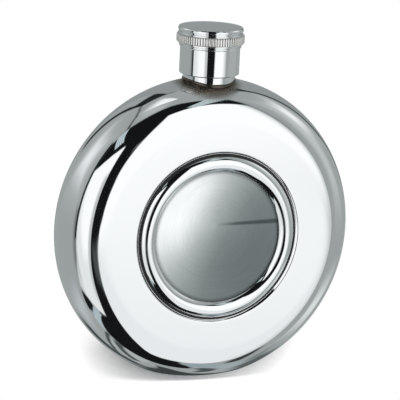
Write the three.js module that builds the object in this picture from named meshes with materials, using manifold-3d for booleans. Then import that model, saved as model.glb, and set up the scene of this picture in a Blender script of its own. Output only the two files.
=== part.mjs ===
// Round hip flask: a drawn steel body standing on a pressed foot, a framed round plate in its
// front face, and a fluted screw cap on a short neck. Millimetres, +Z up, front towards -Y.
// The origin lies under the middle of the flask, on the surface that the foot stands on.

import * as THREE from 'three';
import { mergeVertices } from 'three/addons/utils/BufferGeometryUtils.js';
import Module from 'manifold-3d';

const wasm = await Module();
wasm.setup();

// Body shells
const BODY_RADIUS = 50; // round outline of the body
const BODY_DEPTH = 28; // front face to back face
const RIM_REACH = 10.5; // how far the rounded rim reaches out past the flat faces
const SHELL_WALL = 0.8; // sheet that the two halves are drawn from
const FOOT_PRESS = 1.3; // how far the rim is pressed flat to make the foot

// Plate in the recess of the front face
const PLATE_RADIUS = 22.4;
const PLATE_THICKNESS = 0.8;
const BOND_THICKNESS = 0.2; // adhesive film under the plate
const BOND_INSET = 1; // film's edge inside the plate's edge

// Bezel: a half round ring about the plate, in a shallow seat pressed round the recess
const BEZEL_LIP = 0.8; // how far the ring laps over the plate
const BEZEL_REACH = 1.9; // ring's crest outside the plate's edge
const BEZEL_ROUND = 3.17; // radius of the ring's section
const BEZEL_RISE = 1.2; // crest above the front face
const BEZEL_SPREAD = 64; // degrees that the round runs down on its outer side
const SEAT_MARGIN = 0.5; // floor of the seat past the ring
const SEAT_SLOPE = 1; // width of the slope from the seat's floor up to the face

// Neck, from the bore outwards
const SPOUT_BORE_RADIUS = 6.45;
const SPOUT_WALL = 0.8;
const SPOUT_HEIGHT = 10.7; // lip above the top of the body
const SPOUT_REACH = 4.5; // tube below the top of the body
const SPOUT_LIP_ROUND = 0.3; // rounding of the lip that one drinks from
const COLLAR_WALL = 0.9;
const COLLAR_BAND = 2.2; // height of the collar's plain band
const COLLAR_GROOVE_HEIGHT = 0.25; // groove under the band
const COLLAR_GROOVE_DEPTH = 0.3;
const COLLAR_FLANGE = 0.3; // how far the collar's foot stands out past the band

// Cap, liner and gasket
const THREAD_SPACE = 0.65; // between the spout and the liner, where the threads engage
const LINER_WALL = 0.8;
const LINER_ROOF = 1.2;
const LINER_STANDOFF = 1.5; // rim on the liner's roof that meets the cap's lid
const LINER_RIM_WIDTH = 1.2;
const LINER_INSET = 0.5; // liner's mouth above the cap's skirt edge
const GASKET_THICKNESS = 1.2;
const CAP_LIFT = 1.4; // cap's skirt edge above the top of the body
const CAP_WALL = 0.7;
const CAP_ROOF = 1; // thickness of the cap's lid
const CAP_EDGE = 0.2; // chamfer on the turned edges
const LID_PROUD = 0.85; // lid's rim past the cap's plain wall
const LID_HEIGHT = 1;
const LID_CROWN = 0.3; // lid's middle above its edge
const LID_GROOVE_HEIGHT = 0.3; // groove under the lid's rim
const LID_GROOVE_DEPTH = 0.35;
const SHOULDER_PROUD = 0.8; // ring between the groove and the grip band
const SHOULDER_HEIGHT = 1;
const GRIP_PROUD = 1.33; // crests of the grip band past the plain wall
const GRIP_HEIGHT = 2.75;
const GRIP_CHAMFER = 0.3;
const FLUTE_COUNT = 60;
const FLUTE_DEPTH = 0.3;
const BEAD_PROUD = 0.65; // plain bead under the grip band
const BEAD_HEIGHT = 1.5;

const FIT = 0.3; // clearance between pieces that nest in each other

// Facets of the round surfaces
const BODY_FACETS = 60;
const NECK_FACETS = 48;
const RIM_STEPS = 7; // steps from the rim's middle to a face
const ROLL_STEPS = 4; // steps on the lip's small arcs and the lid's crown
const BEZEL_STEPS = 10; // steps across the bezel's round
const POINTS_PER_FLUTE = 4;

// Sizes that follow from the ones above
const halfDepth = BODY_DEPTH / 2;
const faceRadius = BODY_RADIUS - RIM_REACH;
const footLevel = FOOT_PRESS - BODY_RADIUS;

const crestRadius = PLATE_RADIUS + BEZEL_REACH;
const bezelSpread = THREE.MathUtils.degToRad(BEZEL_SPREAD);
const lipReach = Math.min((BEZEL_REACH + BEZEL_LIP) / BEZEL_ROUND, Math.sin(bezelSpread));
const seatSink = BEZEL_ROUND * (1 - Math.cos(bezelSpread)) - BEZEL_RISE;
const seatFloor = crestRadius + BEZEL_ROUND * Math.sin(bezelSpread) + SEAT_MARGIN;
const seatEdge = seatFloor + SEAT_SLOPE;

const plateFace = halfDepth - seatSink - FIT;
const bondFace = plateFace - PLATE_THICKNESS;
const recessFloor = bondFace - BOND_THICKNESS;
const recessRadius = PLATE_RADIUS + FIT;

const spoutRadius = SPOUT_BORE_RADIUS + SPOUT_WALL;
const neckHoleRadius = spoutRadius + FIT;
const spoutLip = BODY_RADIUS + SPOUT_HEIGHT;
const skirtEdge = BODY_RADIUS + CAP_LIFT;

const linerBore = spoutRadius + THREAD_SPACE;
const linerRadius = linerBore + LINER_WALL;
const capBore = linerRadius + FIT;
const capRadius = capBore + CAP_WALL;
const gripRadius = capRadius + GRIP_PROUD;

const gasketSeat = spoutLip + FIT;
const linerCeiling = gasketSeat + GASKET_THICKNESS + FIT;
const linerRoofTop = linerCeiling + LINER_ROOF;
const linerTop = linerRoofTop + LINER_STANDOFF;
const capCeiling = linerTop + FIT;
const capTop = capCeiling + CAP_ROOF;

// Points on an arc about [x, y], with equal radii or as part of an ellipse, both ends included
function arc([x, y], [radiusX, radiusY], fromDegrees, toDegrees, steps) {
  const points = [];
  for (let step = 0; step <= steps; step += 1) {
    const angle = THREE.MathUtils.degToRad(fromDegrees + ((toDegrees - fromDegrees) * step) / steps);
    points.push([x + radiusX * Math.cos(angle), y + radiusY * Math.sin(angle)]);
  }
  return points;
}

// One set of shared vertices, without the triangles that shrink to nothing on an axis
function weld(geometry) {
  geometry.deleteAttribute('normal');
  geometry.deleteAttribute('uv');
  const welded = mergeVertices(geometry);
  const corners = welded.index.array;
  const kept = [];
  for (let i = 0; i < corners.length; i += 3) {
    const [a, b, c] = corners.subarray(i, i + 3);
    if (a !== b && b !== c && c !== a) kept.push(a, b, c);
  }
  welded.setIndex(kept);
  return welded;
}

// Solid of revolution about Y from [radius, height] points, with the material on their left
function revolve(profile, facets) {
  const points = profile.map(([radius, height]) => new THREE.Vector2(radius, height));
  return weld(new THREE.LatheGeometry(points, facets));
}

// The same, standing along Z
function turn(profile, facets = NECK_FACETS) {
  return revolve(profile, facets).rotateX(Math.PI / 2);
}

// A profile that comes back to its first point, for a ring that leaves the axis open
function closed(profile) {
  return [...profile, profile[0]];
}

function toSolid(geometry) {
  return new wasm.Manifold(
    new wasm.Mesh({
      numProp: 3,
      vertProperties: new Float32Array(geometry.attributes.position.array),
      triVerts: new Uint32Array(geometry.index.array),
    }),
  );
}

function toGeometry(solid) {
  const mesh = solid.getMesh();
  const geometry = new THREE.BufferGeometry();
  geometry.setAttribute('position', new THREE.BufferAttribute(mesh.vertProperties, 3));
  geometry.setIndex(new THREE.BufferAttribute(mesh.triVerts, 1));
  return geometry;
}

// Block that holds everything above a level
function above(level) {
  const side = 6 * BODY_RADIUS;
  return toSolid(weld(new THREE.BoxGeometry(side, side, side).translate(0, 0, level + side / 2)));
}

// Outline of the whole body's section, grown by a clearance
function bodyProfile(grow) {
  const depth = halfDepth + grow;
  const rim = arc([faceRadius, 0], [RIM_REACH + grow, depth], -90, 90, 2 * RIM_STEPS);
  return [[0, -depth], ...rim, [0, depth]];
}

// Shells: each half is the outer form less the inner one, open along the weld seam, cut level at
// the foot, where the inner form stops one wall higher, and bored for the neck.
function drawnShell(outer, inner) {
  const hole = new THREE.CylinderGeometry(neckHoleRadius, neckHoleRadius, BODY_RADIUS, NECK_FACETS);
  const neckHole = toSolid(weld(hole.rotateX(Math.PI / 2).translate(0, 0, BODY_RADIUS)));
  const skin = toSolid(revolve(outer, BODY_FACETS)).intersect(above(footLevel));
  const hollow = toSolid(revolve(inner, BODY_FACETS)).intersect(above(footLevel + SHELL_WALL));
  return toGeometry(skin.subtract(hollow).subtract(neckHole));
}

function frontShell() {
  const innerDepth = halfDepth - SHELL_WALL;
  const innerReach = RIM_REACH - SHELL_WALL;
  const seatShift = SHELL_WALL * Math.tan(Math.atan2(seatSink, SEAT_SLOPE) / 2);
  const seam = BODY_RADIUS - SHELL_WALL;
  const outer = [
    [0, -recessFloor],
    [recessRadius, -recessFloor],
    [recessRadius, seatSink - halfDepth],
    [seatFloor, seatSink - halfDepth],
    [seatEdge, -halfDepth],
    ...arc([faceRadius, 0], [RIM_REACH, halfDepth], -90, 0, RIM_STEPS),
    [0, 0],
  ];
  const inner = [
    [0, SHELL_WALL - recessFloor],
    [recessRadius + SHELL_WALL, SHELL_WALL - recessFloor],
    [recessRadius + SHELL_WALL, seatSink - innerDepth],
    [seatFloor + seatShift, seatSink - innerDepth],
    [seatEdge + seatShift, -innerDepth],
    ...arc([faceRadius, 0], [innerReach, innerDepth], -90, 0, RIM_STEPS),
    [seam, SHELL_WALL],
    [0, SHELL_WALL],
  ];
  return drawnShell(outer, inner);
}

function backShell() {
  const innerDepth = halfDepth - SHELL_WALL;
  const innerReach = RIM_REACH - SHELL_WALL;
  const seam = BODY_RADIUS - SHELL_WALL;
  const outer = [
    [0, 0],
    ...arc([faceRadius, 0], [RIM_REACH, halfDepth], 0, 90, RIM_STEPS),
    [0, halfDepth],
  ];
  const inner = [
    [0, -SHELL_WALL],
    [seam, -SHELL_WALL],
    ...arc([faceRadius, 0], [innerReach, innerDepth], 0, 90, RIM_STEPS),
    [0, innerDepth],
  ];
  return drawnShell(outer, inner);
}

// Plate and its adhesive: plain discs that lie on each other in the recess
function disc(radius, front, back) {
  const profile = [
    [0, -front],
    [radius, -front],
    [radius, -back],
    [0, -back],
  ];
  return revolve(profile, BODY_FACETS);
}

// Bezel: its round runs from the lip over the crest down to the seat's floor, which its flat
// underside stands on
function bezelRing() {
  const centre = [crestRadius, halfDepth + BEZEL_RISE - BEZEL_ROUND];
  const lipAngle = 90 + THREE.MathUtils.radToDeg(Math.asin(lipReach));
  const round = arc(centre, [BEZEL_ROUND, BEZEL_ROUND], lipAngle, 90 - BEZEL_SPREAD, BEZEL_STEPS);
  const section = [[round[0][0], halfDepth - seatSink], ...round];
  const turned = section.map(([radius, front]) => [radius, -front]);
  return revolve(closed(turned), BODY_FACETS);
}

// Spout: a straight tube through the top of the body, with a rounded drinking lip
function neckSpout() {
  const tubeEnd = BODY_RADIUS - SPOUT_REACH;
  const lipRound = Math.min(SPOUT_LIP_ROUND, SPOUT_WALL / 2);
  const roundLevel = spoutLip - lipRound;
  const round = [lipRound, lipRound];
  const profile = [
    [SPOUT_BORE_RADIUS, tubeEnd],
    [spoutRadius, tubeEnd],
    ...arc([spoutRadius - lipRound, roundLevel], round, 0, 90, ROLL_STEPS),
    ...arc([SPOUT_BORE_RADIUS + lipRound, roundLevel], round, 90, 180, ROLL_STEPS),
  ];
  return turn(closed(profile));
}

// Collar: a ring round the spout, with a grooved band over a wider foot that is cut to sit on
// the curve of the rim
function neckCollar() {
  const band = neckHoleRadius + COLLAR_WALL;
  const groove = band - COLLAR_GROOVE_DEPTH;
  const flange = band + COLLAR_FLANGE;
  const top = skirtEdge - FIT;
  const bandEdge = top - COLLAR_BAND;
  const flangeEdge = bandEdge - COLLAR_GROOVE_HEIGHT;
  const profile = [
    [neckHoleRadius, faceRadius],
    [flange, faceRadius],
    [flange, flangeEdge],
    [groove, flangeEdge],
    [groove, bandEdge],
    [band, bandEdge],
    [band, top],
    [neckHoleRadius, top],
  ];
  const seat = toSolid(revolve(bodyProfile(FIT), BODY_FACETS));
  return toGeometry(toSolid(turn(closed(profile))).subtract(seat));
}

// Cap: a turned cup with a crowned lid, a groove, a fluted grip band, a bead and a plain skirt
function capShell() {
  const lid = capRadius + LID_PROUD;
  const shoulder = capRadius + SHOULDER_PROUD;
  const bead = capRadius + BEAD_PROUD;
  const lidEdge = capTop - LID_HEIGHT;
  const grooveEdge = lidEdge - LID_GROOVE_HEIGHT;
  const gripTop = grooveEdge - SHOULDER_HEIGHT;
  const gripBottom = gripTop - GRIP_HEIGHT;
  const beadBottom = gripBottom - BEAD_HEIGHT;
  const cup = [
    [0, capCeiling],
    [capBore, capCeiling],
    [capBore, skirtEdge],
    [capRadius - CAP_EDGE, skirtEdge],
    [capRadius, skirtEdge + CAP_EDGE],
    [capRadius, beadBottom],
    [bead, beadBottom + BEAD_PROUD],
    [bead, gripBottom - CAP_EDGE],
    [bead - CAP_EDGE, gripBottom],
    [capRadius, gripBottom],
    [capRadius, gripTop],
    [shoulder, gripTop],
    [shoulder, grooveEdge],
    [lid - LID_GROOVE_DEPTH, grooveEdge],
    [lid - LID_GROOVE_DEPTH, lidEdge],
    [lid, lidEdge],
    [lid, capTop - CAP_EDGE],
    ...arc([0, capTop], [lid - CAP_EDGE, LID_CROWN], 0, 90, ROLL_STEPS),
  ];
  return toGeometry(toSolid(turn(cup)).add(gripBand(gripBottom)));
}

// Grip band: a ring of rounded ribs with sharp valleys, chamfered at both ends. It reaches half
// way into the cap's wall, so that band and cup are one piece.
function gripBand(bottom) {
  const outline = new THREE.Shape();
  const points = FLUTE_COUNT * POINTS_PER_FLUTE;
  for (let point = 0; point < points; point += 1) {
    const angle = (2 * Math.PI * point) / points;
    const rib = Math.abs(Math.sin((FLUTE_COUNT * angle) / 2));
    const radius = gripRadius - FLUTE_DEPTH * (1 - rib);
    const place = [radius * Math.cos(angle), radius * Math.sin(angle)];
    if (point === 0) outline.moveTo(...place);
    else outline.lineTo(...place);
  }
  outline.closePath();
  const root = new THREE.Path().absarc(0, 0, capRadius - CAP_WALL / 2, 0, 2 * Math.PI, true);
  outline.holes.push(root);
  const ribs = new THREE.ExtrudeGeometry(outline, {
    depth: GRIP_HEIGHT,
    bevelEnabled: false,
    curveSegments: NECK_FACETS,
  });
  const clear = gripRadius + FLUTE_DEPTH;
  const chamfer = GRIP_CHAMFER + FLUTE_DEPTH;
  const top = bottom + GRIP_HEIGHT;
  const barrel = [
    [0, bottom],
    [clear - chamfer, bottom],
    [clear, bottom + chamfer],
    [clear, top - chamfer],
    [clear - chamfer, top],
    [0, top],
  ];
  return toSolid(weld(ribs.translate(0, 0, bottom))).intersect(toSolid(turn(barrel)));
}

// Liner: a moulded cup that carries the cap's thread, with a rim on its roof under the lid
function capLiner() {
  const profile = [
    [0, linerCeiling],
    [linerBore, linerCeiling],
    [linerBore, skirtEdge + LINER_INSET],
    [linerRadius, skirtEdge + LINER_INSET],
    [linerRadius, linerTop],
    [linerRadius - LINER_RIM_WIDTH, linerTop],
    [linerRadius - LINER_RIM_WIDTH, linerRoofTop],
    [0, linerRoofTop],
  ];
  return turn(profile);
}

// Gasket: a soft washer, loose in the liner, that the cap presses on the spout's lip
function capGasket() {
  const radius = linerBore - FIT;
  const profile = [
    [0, gasketSeat],
    [radius, gasketSeat],
    [radius, gasketSeat + GASKET_THICKNESS],
    [0, gasketSeat + GASKET_THICKNESS],
  ];
  return turn(profile);
}

function piece(name, geometry, color, roughness, metalness) {
  const finished = geometry.toNonIndexed();
  finished.computeVertexNormals();
  const mesh = new THREE.Mesh(finished, new THREE.MeshStandardMaterial({ color, roughness, metalness }));
  mesh.name = name;
  return mesh;
}

const POLISHED_STEEL = 0xd4d7d9;
const BRUSHED_STEEL = 0x9fa4a6;
const ADHESIVE = 0x121213;
const LINER_PLASTIC = 0x1d1e20;
const SILICONE = 0xe4e3dd;

const body = new THREE.Group();
body.add(
  piece('front_shell', frontShell(), POLISHED_STEEL, 0.06, 1),
  piece('back_shell', backShell(), POLISHED_STEEL, 0.06, 1),
  piece('bezel_ring', bezelRing(), POLISHED_STEEL, 0.05, 1),
  piece('plate_bond_film', disc(PLATE_RADIUS - BOND_INSET, bondFace, recessFloor), ADHESIVE, 0.7, 0),
  piece('centre_plate', disc(PLATE_RADIUS, plateFace, bondFace), BRUSHED_STEEL, 0.35, 1),
  piece('neck_collar', neckCollar(), POLISHED_STEEL, 0.06, 1),
  piece('neck_spout', neckSpout(), POLISHED_STEEL, 0.15, 1),
);

const cap = new THREE.Group();
cap.add(
  piece('cap_shell', capShell(), POLISHED_STEEL, 0.06, 1),
  piece('cap_liner', capLiner(), LINER_PLASTIC, 0.5, 0),
  piece('cap_gasket', capGasket(), SILICONE, 0.6, 0),
);

const flask = new THREE.Group();
flask.add(body, cap);
flask.position.set(0, BEZEL_RISE / 2, -footLevel);

export default flask;
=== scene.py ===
"""Round hip flask in polished steel, with a framed brushed plate and a fluted screw cap.

Metres, +Z up, front towards -Y. Sizes below are written in millimetres times MM.
"""
import math

import bmesh
import bpy
from mathutils import Matrix, Vector


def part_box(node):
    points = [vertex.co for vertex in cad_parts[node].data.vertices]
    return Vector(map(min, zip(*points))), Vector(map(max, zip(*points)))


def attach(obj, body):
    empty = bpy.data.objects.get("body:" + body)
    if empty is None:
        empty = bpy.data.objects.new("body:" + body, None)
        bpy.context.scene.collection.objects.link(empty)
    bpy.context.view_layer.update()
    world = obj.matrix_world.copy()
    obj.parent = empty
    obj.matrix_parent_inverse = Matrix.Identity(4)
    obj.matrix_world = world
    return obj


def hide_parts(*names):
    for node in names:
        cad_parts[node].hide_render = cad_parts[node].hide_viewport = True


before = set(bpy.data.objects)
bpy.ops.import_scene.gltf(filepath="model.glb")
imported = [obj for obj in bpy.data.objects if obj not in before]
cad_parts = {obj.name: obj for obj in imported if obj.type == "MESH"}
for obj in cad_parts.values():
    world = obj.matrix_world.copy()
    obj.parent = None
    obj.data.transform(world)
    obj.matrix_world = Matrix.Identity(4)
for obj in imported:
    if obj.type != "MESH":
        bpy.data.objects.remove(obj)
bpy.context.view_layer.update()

MM = 0.001

# Places and main sizes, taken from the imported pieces
plate_low, plate_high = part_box("centre_plate")
shell_low, shell_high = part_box("front_shell")
collar_low, collar_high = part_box("neck_collar")
spout_low, spout_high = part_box("neck_spout")
cap_low, cap_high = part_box("cap_shell")
liner_low, liner_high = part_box("cap_liner")
gasket_low, gasket_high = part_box("cap_gasket")

MIDDLE = Vector((0.0, shell_high.y, (plate_low.z + plate_high.z) / 2))
BODY_RADIUS = (shell_high.x - shell_low.x) / 2
HALF_DEPTH = MIDDLE.y - shell_low.y
FACE_FRONT = shell_low.y
FACE_BACK = MIDDLE.y + HALF_DEPTH
FOOT_LEVEL = shell_low.z
PLATE_RADIUS = (plate_high.x - plate_low.x) / 2
PLATE_FRONT = plate_low.y
PLATE_BACK = plate_high.y
FLANGE_RADIUS = (collar_high.y - collar_low.y) / 2
SPOUT_RADIUS = (spout_high.x - spout_low.x) / 2
GRIP_RADIUS = (cap_high.x - cap_low.x) / 2
LINER_RADIUS = (liner_high.x - liner_low.x) / 2
GASKET_RADIUS = (gasket_high.x - gasket_low.x) / 2

# Body
NEST_CLEARANCE = 0.3 * MM  # round a piece that sits in another
RIM_REACH = 13 * MM        # rim that curves away from the flat faces, slowly at first
RIM_POWER = 2.65
FACE_RADIUS = BODY_RADIUS - RIM_REACH
SHELL_WALL = 0.8 * MM
FILM_ROOM = 0.2 * MM       # behind the plate, for the adhesive
RECESS_RADIUS = PLATE_RADIUS + NEST_CLEARANCE
RECESS_FLOOR = PLATE_BACK + FILM_ROOM
RECESS_ROUND = 0.1 * MM
FOOT_BLEND = 2.8 * MM      # height over which the pressed foot runs out into the rim
FOOT_SINK = 0.27 * MM      # takes up the lift that the blend gives the foot's middle
NECK_HOLE = SPOUT_RADIUS + NEST_CLEARANCE

# Plate and bezel, a half round ring in a shallow seat
PLATE_EDGE = 0.15 * MM
BRUSH_CENTRE_RISE = 3.3 * MM   # middle of the brushed circles above the middle of the plate
PAINTED_SHEEN_LEAN = 149           # degrees round from +X to the brightest side of the painted sheen
PAINTED_SHEEN_CORE = 14 * MM       # distance from the middle of the circles where the painted sheen is full
RAY_RISE = 0.018           # slope of the painted dark reflection ray in the brushing
RAY_LIFT = 0.7 * MM        # ray above the middle of the circles
RAY_HALF_WIDTH = 0.4 * MM
RAY_WIDENING = 0.016
RAY_SOFTNESS = 0.35 * MM
RAY_START = -1 * MM        # along X, from where the ray fades in
RAY_FULL = 7 * MM
PAINTED_LIP_SHADE = 1.3 * MM       # width of the painted shade in the plate's corner under the bezel's lip
BEZEL_LINE = 24.15 * MM    # radius of the ring's crest
BEZEL_ROUND = 3.15 * MM    # radius of its section
BEZEL_RISE = 1.2 * MM
BEZEL_LIP = 21.5 * MM
BEZEL_SPREAD = 64          # degrees that the rounded section runs down on its outer side
BEZEL_CENTRE = (BEZEL_LINE, FACE_FRONT - BEZEL_RISE + BEZEL_ROUND)
LIP_GAP = 0.03 * MM        # under the bezel's lip
SEAT_GAP = 0.02 * MM       # under the bezel's foot
SEAT_DEPTH = 0.58 * MM
SEAT_FLOOR = 27.6 * MM
SEAT_CORNER = 0.05 * MM
SEAT_EDGE = 28.2 * MM
SEAT_ROUND = 0.25 * MM
SEAT_MARGIN = 1.5 * MM     # flat ring of the face outside the seat
JOINT_START = 50           # degrees down the ring's outer side where the adhesive begins
JOINT_SKIN = 0.05 * MM     # adhesive over the ring's side
JOINT_OUTER = 27.5 * MM

# Neck
SPOUT_WALL = 0.8 * MM
SPOUT_LIP_ROUND = 0.3 * MM
COLLAR_WALL = 0.9 * MM
COLLAR_RADIUS = NECK_HOLE + COLLAR_WALL
COLLAR_BAND = 2.2 * MM
COLLAR_TOP_ROUND = 0.15 * MM
COLLAR_GROOVE = 0.15 * MM
FLANGE_ROUND = 0.1 * MM
COLLAR_BEAD = 1.1 * MM
COLLAR_GROOVE_DEPTH = 0.3 * MM
COLLAR_SEAT = -0.25 * MM   # collar's foot sunk in the solder on the rim
COLLAR_SADDLE = 1.1 * MM   # bead where it rides up over the rim
NECK_DARKENING_SHIFT = Vector((-1.5, -1.8, -1.5)) * MM   # the darker tone lies to the left and front of the neck
NECK_DARKENING_REACH = 3.6 * MM
THREAD_PITCH = 3.0 * MM    # rise of the cap in one turn
THREAD_HEIGHT = 0.45 * MM
THREAD_ROOT = 1.3 * MM
THREAD_CREST = 0.5 * MM
THREAD_RUNOUT = 0.8 * MM
THREAD_SINK = 0.05 * MM    # root of the thread inside its wall
SPOUT_THREAD_START = 2.2 * MM  # above the collar's top
SPOUT_THREAD_TURNS = 1.75

# Cap, from its plain wall outwards and from its lid down
CAP_WALL = 0.7 * MM
CAP_ROOF = 1.0 * MM
GRIP_PROUD = 1.33 * MM
CAP_RADIUS = GRIP_RADIUS - GRIP_PROUD
LID_PROUD = 0.85 * MM
LID_HEIGHT = 1.2 * MM
LID_BEVEL = Vector((0.27 * MM, 0.42 * MM))   # steep bevel round the lid's top
LID_TOP_ROUND = 0.12 * MM
LID_SIDE_ROUND = 0.1 * MM
LID_UNDER_ROUND = 0.15 * MM
LID_CROWN = 0.3 * MM
LID_GROOVE_HEIGHT = 0.5 * MM
LID_GROOVE_DEPTH = 0.6 * MM
SHOULDER_PROUD = 0.8 * MM
SHOULDER_HEIGHT = 0.6 * MM
SHOULDER_ROUND = 0.2 * MM
GRIP_HEIGHT = 2.75 * MM
GRIP_CHAMFER = 0.3 * MM
FLUTES = 76
FLUTE_DEPTH = 0.22 * MM
FLUTE_POWER = 4            # flat topped ribs with narrow valleys
BEAD_PROUD = 0.65 * MM
BEAD_HEIGHT = 1.5 * MM     # two beads with a groove between them
BEAD_STEP = 0.35 * MM
LOW_BEAD_HEIGHT = 0.65 * MM
BEAD_GROOVE = 0.3 * MM
BEAD_ROUND = 0.12 * MM
SKIRT_ROUND = 0.15 * MM
ROOF_CORNER = 0.3 * MM
FINE_EDGE = 0.08 * MM      # rounding left by polishing on turned edges
LID_TOP = cap_high.z - LID_CROWN
LID_EDGE = LID_TOP - LID_HEIGHT
SHOULDER_TOP = LID_EDGE - LID_GROOVE_HEIGHT
GRIP_TOP = SHOULDER_TOP - SHOULDER_HEIGHT
GRIP_BOTTOM = GRIP_TOP - GRIP_HEIGHT

# Liner and washer
LINER_WALL = 0.8 * MM
LINER_ROOF = 1.2 * MM
LINER_STANDOFF = 1.5 * MM
LINER_RIM_WIDTH = 1.2 * MM
LINER_EDGE = 0.2 * MM
LINER_CORNER = 0.3 * MM
WASHER_EDGE = 0.25 * MM

# Steps of the round surfaces
BODY_STEPS = 288
NECK_STEPS = 144
RIM_STEPS = 56             # from a face to mid depth
BEZEL_STEPS = 40
JOINT_STEPS = 8
BEAD_STEPS = 10
CROWN_STEPS = 6
ROUND_STEPS = 4
FLUTE_STEPS = 8
THREAD_STEPS = 72          # in one turn
SHARP_ANGLE = math.radians(40)
WELD = 0.0005 * MM

AXES = {"Y": Vector((0, 1, 0)), "Z": Vector((0, 0, 1))}


# Node and colour helpers
def linear(code):
    """Linear colour of an sRGB hex value."""
    parts = [int(code[i:i + 2], 16) / 255 for i in (1, 3, 5)]
    light = [p / 12.92 if p <= 0.04045 else ((p + 0.055) / 1.055) ** 2.4 for p in parts]
    return (*light, 1.0)


def add(tree, kind, inputs=None, **settings):
    """One node, with its properties, and with its inputs set or linked."""
    node = tree.nodes.new(kind)
    for name, value in settings.items():
        setattr(node, name, value)
    for socket, value in (inputs or {}).items():
        if isinstance(value, bpy.types.NodeSocket):
            tree.links.new(value, node.inputs[socket])
        else:
            node.inputs[socket].default_value = value
    return node


def new_material(name):
    """Empty node material, with its tree and the piece's own coordinates in it."""
    material = bpy.data.materials.new(name)
    material.use_nodes = True
    tree = material.node_tree
    tree.nodes.clear()
    return material, tree, add(tree, "ShaderNodeTexCoord").outputs["Object"]


def per_mm(size):
    """Scale of a texture whose features are this many millimetres wide."""
    return 1.0 / (size * MM)


# Materials
BUFFED_STEEL = "#EBECED"


def buffing_haze(tree, place):
    """Roughness of buffed sheet: a near mirror, a little duller in patches where the wheel left a haze."""
    haze = add(tree, "ShaderNodeTexNoise", {"Vector": place, "Scale": per_mm(9), "Detail": 3.0})
    return add(tree, "ShaderNodeMapRange", {
        "Value": haze.outputs["Fac"],
        "From Min": 0.3, "From Max": 0.7, "To Min": 0.025, "To Max": 0.06,
    }).outputs["Result"]


def mirror_polished_stainless_steel():
    """Buffed stainless sheet: near mirror reflections, with a faint haze left by the buffing wheel."""
    material, tree, place = new_material("mirror_polished_stainless_steel")
    shader = add(tree, "ShaderNodeBsdfPrincipled", {
        "Base Color": linear(BUFFED_STEEL),
        "Metallic": 1.0,
        "Roughness": buffing_haze(tree, place),
    })
    add(tree, "ShaderNodeOutputMaterial", {"Surface": shader.outputs["BSDF"]})
    return material


def neck_darkened_stainless_steel():
    """The same buffed sheet for the body, duller and a darker brown round the neck."""
    material, tree, place = new_material("neck_darkened_stainless_steel")
    foot = MIDDLE + NECK_DARKENING_SHIFT + Vector((0.0, 0.0, BODY_RADIUS))
    away = add(tree, "ShaderNodeVectorMath", {0: place, 1: foot}, operation="DISTANCE")
    # darker, browner and duller towards the neck
    tone_share = add(tree, "ShaderNodeMapRange", {
        "Value": away.outputs["Value"],
        "From Min": FLANGE_RADIUS, "From Max": FLANGE_RADIUS + NECK_DARKENING_REACH, "To Min": 1.0, "To Max": 0.0,
    }, interpolation_type="SMOOTHSTEP").outputs["Result"]
    tone = add(tree, "ShaderNodeMix", {
        "Factor": tone_share, "A": linear(BUFFED_STEEL), "B": linear("#8F877B"),
    }, data_type="RGBA")
    roughness = add(tree, "ShaderNodeMath", {
        0: tone_share, 1: 0.3, 2: buffing_haze(tree, place),
    }, operation="MULTIPLY_ADD")
    shader = add(tree, "ShaderNodeBsdfPrincipled", {
        "Base Color": tone.outputs["Result"],
        "Metallic": 1.0,
        "Roughness": roughness.outputs[0],
    })
    add(tree, "ShaderNodeOutputMaterial", {"Surface": shader.outputs["BSDF"]})
    return material


def rolled_stainless_steel():
    """Ribs rolled into the cap's wall: bright flat tops with a fine grain, and painted shade darkening the
    narrow valleys.
    """
    material, tree, place = new_material("rolled_stainless_steel")
    grain = add(tree, "ShaderNodeTexNoise", {"Vector": place, "Scale": per_mm(0.6), "Detail": 2.0})
    roughness = add(tree, "ShaderNodeMapRange", {
        "Value": grain.outputs["Fac"],
        "From Min": 0.3, "From Max": 0.7, "To Min": 0.22, "To Max": 0.32,
    })
    arm = add(tree, "ShaderNodeVectorMath", {0: place, 1: (0.0, -MIDDLE.y, 0.0)}, operation="ADD")
    axes = add(tree, "ShaderNodeSeparateXYZ", {"Vector": arm.outputs["Vector"]})
    angle = add(tree, "ShaderNodeMath", {0: axes.outputs["Y"], 1: axes.outputs["X"]}, operation="ARCTAN2")
    ribs = add(tree, "ShaderNodeMath", {0: angle.outputs[0], 1: FLUTES / math.tau}, operation="MULTIPLY")
    folded = add(tree, "ShaderNodeMath", {0: ribs.outputs[0], 1: 0.5}, operation="PINGPONG")
    # painted shade in the valleys between the ribs
    painted_valley_shade = add(tree, "ShaderNodeMapRange", {
        "Value": folded.outputs[0], "From Min": 0.3, "From Max": 0.48,
    }, interpolation_type="SMOOTHSTEP")
    tone = add(tree, "ShaderNodeMix", {
        "Factor": painted_valley_shade.outputs["Result"], "A": linear("#F4F3F0"), "B": linear("#6E6A63"),
    }, data_type="RGBA")
    shader = add(tree, "ShaderNodeBsdfPrincipled", {
        "Base Color": tone.outputs["Result"],
        "Metallic": 1.0,
        "Roughness": roughness.outputs["Result"],
    })
    add(tree, "ShaderNodeOutputMaterial", {"Surface": shader.outputs["BSDF"]})
    return material


def heat_tinted_stainless_steel():
    """Steel beside the soldered joint: dulled and stained straw to brown by the heat."""
    material, tree, place = new_material("heat_tinted_stainless_steel")
    tone_share = add(tree, "ShaderNodeTexNoise", {"Vector": place, "Scale": per_mm(2.5), "Detail": 3.0})
    tint = add(tree, "ShaderNodeMix", {
        "Factor": tone_share.outputs["Fac"], "A": linear("#3A3530"), "B": linear("#726B61"),
    }, data_type="RGBA")
    shader = add(tree, "ShaderNodeBsdfPrincipled", {
        "Base Color": tint.outputs["Result"],
        "Metallic": 1.0,
        "Roughness": 0.3,
    })
    add(tree, "ShaderNodeOutputMaterial", {"Surface": shader.outputs["BSDF"]})
    return material


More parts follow.
